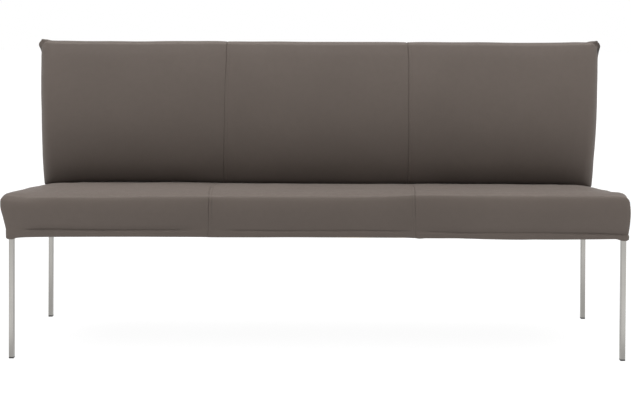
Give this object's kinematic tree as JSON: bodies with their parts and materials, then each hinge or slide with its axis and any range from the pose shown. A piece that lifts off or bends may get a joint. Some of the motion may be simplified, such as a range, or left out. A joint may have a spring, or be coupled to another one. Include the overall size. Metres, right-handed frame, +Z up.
{
  "type": "upholstered dining bench",
  "caption": "Long upholstered dining bench with a full-width raked backrest, panelled leather seat and back, and slim square steel legs.",
  "frame": {"origin": "on the floor, under the middle of the bench's overall box", "axes": "+X along the bench, to the right as seen from the front, +Y towards the backrest, +Z up"},
  "size_m": [1.8998, 0.5795, 0.957],
  "materials": {
    "leather": "satin smooth leather, taupe",
    "leg_steel": "brushed",
    "glide_plastic": "matte moulded",
    "plate_steel": "matt powder coat",
    "upright_steel": "matt powder coat",
    "zinc_fastener": "zinc plated",
    "beech": "sawn and planed, unfinished",
    "plywood": "sanded",
    "webbing": "woven elastic",
    "felt": "needle felt",
    "foam": "open-cell foam",
    "wadding": "polyester fleece",
    "dust_cloth": "non-woven cloth"
  },
  "bodies": {
    "root": {"back_bottom_rail": "beech", "back_cover_front_centre": "leather", "back_cover_front_left": "leather", "back_cover_front_right": "leather", "back_cover_rear_centre": "leather", "back_cover_rear_left": "leather", "back_cover_rear_right": "leather", "back_edge_foam": "foam", "back_foam_front": "foam", "back_foam_rear": "foam", "back_middle_rail": "beech", "back_panel": "plywood", "back_rail_screws": "zinc_fastener", "back_top_rail": "beech", "back_upright_far_left": "upright_steel", "back_upright_far_right": "upright_steel", "back_upright_inner_left": "upright_steel", "back_upright_inner_right": "upright_steel", "back_wadding": "wadding", "back_webbing": "webbing", "corner_blocks": "beech", "dust_cover": "dust_cloth", "dust_cover_staples": "zinc_fastener", "foot_glide_front_left": "glide_plastic", "foot_glide_front_right": "glide_plastic", "foot_glide_rear_left": "glide_plastic", "foot_glide_rear_right": "glide_plastic", "frame_dowels": "beech", "front_edge_foam": "foam", "left_edge_foam": "foam", "leg_front_left": "leg_steel", "leg_front_right": "leg_steel", "leg_plate_front_left": "plate_steel", "leg_plate_front_right": "plate_steel", "leg_plate_rear_left": "plate_steel", "leg_plate_rear_right": "plate_steel", "leg_plate_screws": "zinc_fastener", "leg_rear_left": "leg_steel", "leg_rear_right": "leg_steel", "rear_edge_foam": "foam", "right_edge_foam": "foam", "seat_cover_centre": "leather", "seat_cover_left": "leather", "seat_cover_right": "leather", "seat_cross_rail_left": "beech", "seat_cross_rail_right": "beech", "seat_foam_core": "foam", "seat_front_rail": "beech", "seat_insulator_pad": "felt", "seat_left_rail": "beech", "seat_rear_rail": "beech", "seat_right_rail": "beech", "seat_wadding": "wadding", "seat_webbing": "webbing", "upright_bolts": "zinc_fastener", "upright_nuts": "zinc_fastener"}
  },
  "joints": []
}
